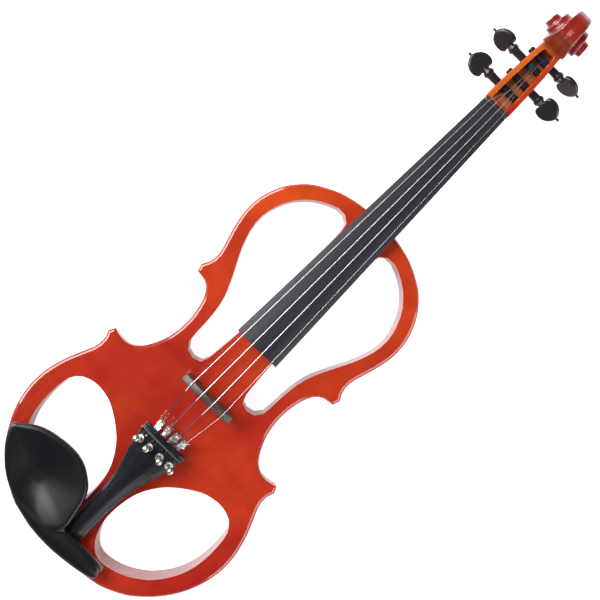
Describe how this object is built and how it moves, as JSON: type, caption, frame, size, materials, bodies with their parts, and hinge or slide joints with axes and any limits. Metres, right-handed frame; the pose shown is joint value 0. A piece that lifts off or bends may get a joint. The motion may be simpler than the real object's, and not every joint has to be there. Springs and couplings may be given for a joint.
{
  "type": "electric violin",
  "caption": "Solid-body electric violin with a violin-shaped, pierced wooden body, chin rest, fine tuners, turning pegs and a battery-powered preamp in the back.",
  "frame": {"origin": "on the flat back of the body, on the centre line, straight under the bridge's pickup", "axes": "+X to the treble side, +Y along the neck to the scroll, +Z from the back up through the strings"},
  "size_m": [0.2164, 0.6161, 0.0697],
  "materials": {
    "red_lacquer": "glossy red-orange lacquer over maple",
    "orange_lacquer": "glossy orange-red lacquer over maple",
    "fingerboard_black": "satin ebony, dulled by the hand",
    "ebony": "satin polished ebony",
    "peg_wood": "satin black-brown turned wood",
    "bridge_wood": "streaky dark wood, oiled",
    "nickel": "bright nickel plate",
    "string_steel": "fine flat winding with silk at both ends",
    "nylon": "smooth black nylon",
    "cork": "natural cork sheet",
    "black_plastic": "moulded, lightly grained",
    "piezo": "brass-foil sleeve",
    "board": "green soldered board",
    "battery": null
  },
  "bodies": {
    "violin": {"battery": "battery", "battery_snap": "black_plastic", "body": "red_lacquer", "bridge": "bridge_wood", "chinrest": "ebony", "chinrest_cork_left": "cork", "chinrest_cork_right": "cork", "clamp_bracket": "nickel", "control_plate": "black_plastic", "end_button": "ebony", "fingerboard": "fingerboard_black", "headphone_jack": "nickel", "neck": "orange_lacquer", "nut": "ebony", "output_jack": "nickel", "pickup_lead": "nylon", "pickup_strip": "piezo", "plate_screw_1": "nickel", "plate_screw_2": "nickel", "plate_screw_3": "nickel", "plate_screw_4": "nickel", "power_switch": "black_plastic", "preamp_board": "board", "saddle": "ebony", "string_a": "string_steel", "string_d": "string_steel", "string_e": "string_steel", "string_g": "string_steel", "tail_gut": "nylon", "tailpiece": "ebony", "tone_pot": "nickel", "tuner_frame_a": "nickel", "tuner_frame_d": "nickel", "tuner_frame_e": "nickel", "tuner_frame_g": "nickel", "tuner_nut_a": "nickel", "tuner_nut_d": "nickel", "tuner_nut_e": "nickel", "tuner_nut_g": "nickel", "volume_pot": "nickel"},
    "peg_g_body": {"peg_g": "peg_wood"},
    "peg_d_body": {"peg_d": "peg_wood"},
    "peg_a_body": {"peg_a": "peg_wood"},
    "peg_e_body": {"peg_e": "peg_wood"},
    "tuner_screw_g_body": {"tuner_screw_g": "nickel"},
    "tuner_lever_g_body": {"tuner_lever_g": "nickel"},
    "tuner_screw_d_body": {"tuner_screw_d": "nickel"},
    "tuner_lever_d_body": {"tuner_lever_d": "nickel"},
    "tuner_screw_a_body": {"tuner_screw_a": "nickel"},
    "tuner_lever_a_body": {"tuner_lever_a": "nickel"},
    "tuner_screw_e_body": {"tuner_screw_e": "nickel"},
    "tuner_lever_e_body": {"tuner_lever_e": "nickel"},
    "clamp_barrel_left_body": {"clamp_barrel_left": "nickel"},
    "clamp_barrel_right_body": {"clamp_barrel_right": "nickel"},
    "clamp_foot_body": {"clamp_foot": "nickel", "clamp_cork": "cork"},
    "volume_knob_body": {"volume_knob": "black_plastic"},
    "tone_knob_body": {"tone_knob": "black_plastic"},
    "switch_button_body": {"switch_button": "black_plastic"},
    "battery_door_body": {"battery_door": "black_plastic"}
  },
  "joints": [
    {"name": "peg_g_turn", "type": "hinge", "parent": "violin", "child": "peg_g_body", "pos_m": [0, 0.3453, 0.0229], "axis": [1, 0, 0], "continuous": true},
    {"name": "peg_d_turn", "type": "hinge", "parent": "violin", "child": "peg_d_body", "pos_m": [0, 0.3747, 0.01866], "axis": [1, 0, 0], "continuous": true},
    {"name": "peg_a_turn", "type": "hinge", "parent": "violin", "child": "peg_a_body", "pos_m": [0, 0.3853, 0.01714], "axis": [1, 0, 0], "continuous": true},
    {"name": "peg_e_turn", "type": "hinge", "parent": "violin", "child": "peg_e_body", "pos_m": [0, 0.359, 0.02092], "axis": [1, 0, 0], "continuous": true},
    {"name": "tuner_screw_g_turn", "type": "hinge", "parent": "violin", "child": "tuner_screw_g_body", "pos_m": [-0.0146, -0.06, 0.05017], "axis": [-0.3081, -0.1544, 0.9387], "range_deg": [0, 750]},
    {"name": "tuner_lever_g_tilt", "type": "hinge", "parent": "violin", "child": "tuner_lever_g_body", "pos_m": [-0.01034, -0.04496, 0.04232], "axis": [-0.9492, 0.1165, -0.2924], "range_deg": [0, 3.6]},
    {"name": "tuner_screw_d_turn", "type": "hinge", "parent": "violin", "child": "tuner_screw_d_body", "pos_m": [-0.005, -0.06, 0.05138], "axis": [-0.1464, -0.1834, 0.9721], "range_deg": [0, 750]},
    {"name": "tuner_lever_d_tilt", "type": "hinge", "parent": "violin", "child": "tuner_lever_d_body", "pos_m": [-0.00293, -0.04448, 0.04246], "axis": [-0.9889, 0.0518, -0.1392], "range_deg": [0, 3.6]},
    {"name": "tuner_screw_a_turn", "type": "hinge", "parent": "violin", "child": "tuner_screw_a_body", "pos_m": [0.0054, -0.06, 0.05135], "axis": [0.2054, -0.1803, 0.9619], "range_deg": [0, 750]},
    {"name": "tuner_lever_a_tilt", "type": "hinge", "parent": "violin", "child": "tuner_lever_a_body", "pos_m": [0.00277, -0.04449, 0.04241], "axis": [-0.9786, -0.0513, 0.1994], "range_deg": [0, 3.6]},
    {"name": "tuner_screw_e_turn", "type": "hinge", "parent": "violin", "child": "tuner_screw_e_body", "pos_m": [0.015, -0.06, 0.05011], "axis": [0.4064, -0.1356, 0.9036], "range_deg": [0, 750]},
    {"name": "tuner_lever_e_tilt", "type": "hinge", "parent": "violin", "child": "tuner_lever_e_body", "pos_m": [0.00958, -0.04512, 0.04235], "axis": [-0.9115, -0.1281, 0.3907], "range_deg": [0, 3.6]},
    {"name": "clamp_barrel_left_turn", "type": "hinge", "parent": "violin", "child": "clamp_barrel_left_body", "pos_m": [-0.013, -0.1754, 0.014], "axis": [0, 0, 1], "range_deg": [0, 750]},
    {"name": "clamp_barrel_right_turn", "type": "hinge", "parent": "violin", "child": "clamp_barrel_right_body", "pos_m": [0.013, -0.1754, 0.014], "axis": [0, 0, 1], "range_deg": [0, 750]},
    {"name": "clamp_foot_slide", "type": "slide", "parent": "violin", "child": "clamp_foot_body", "axis": [0, 0, -1], "range_m": [0, 0.002]},
    {"name": "volume_knob_turn", "type": "hinge", "parent": "violin", "child": "volume_knob_body", "pos_m": [0.0056, -0.011, 0.005], "axis": [0, 0, -1], "range_deg": [0, 300]},
    {"name": "tone_knob_turn", "type": "hinge", "parent": "violin", "child": "tone_knob_body", "pos_m": [0.0056, -0.03, 0.005], "axis": [0, 0, -1], "range_deg": [0, 300]},
    {"name": "switch_button_slide", "type": "slide", "parent": "violin", "child": "switch_button_body", "axis": [1, 0, 0], "range_m": [0, 0.003]},
    {"name": "battery_door_hinge", "type": "hinge", "parent": "violin", "child": "battery_door_body", "pos_m": [-0.0232, -0.0493, 0.0009], "axis": [-1, 0, 0], "range_deg": [0, 95]}
  ],
  "couplings": [
    {"joint": "tuner_screw_g_turn", "follows": "tuner_lever_g_tilt", "ratio": 199.9},
    {"joint": "tuner_screw_d_turn", "follows": "tuner_lever_d_tilt", "ratio": 199.9},
    {"joint": "tuner_screw_a_turn", "follows": "tuner_lever_a_tilt", "ratio": 199.9},
    {"joint": "tuner_screw_e_turn", "follows": "tuner_lever_e_tilt", "ratio": 199.9},
    {"joint": "clamp_barrel_left_turn", "follows": "clamp_foot_slide", "rad_per_m": 6283},
    {"joint": "clamp_barrel_right_turn", "follows": "clamp_foot_slide", "rad_per_m": 6283}
  ]
}
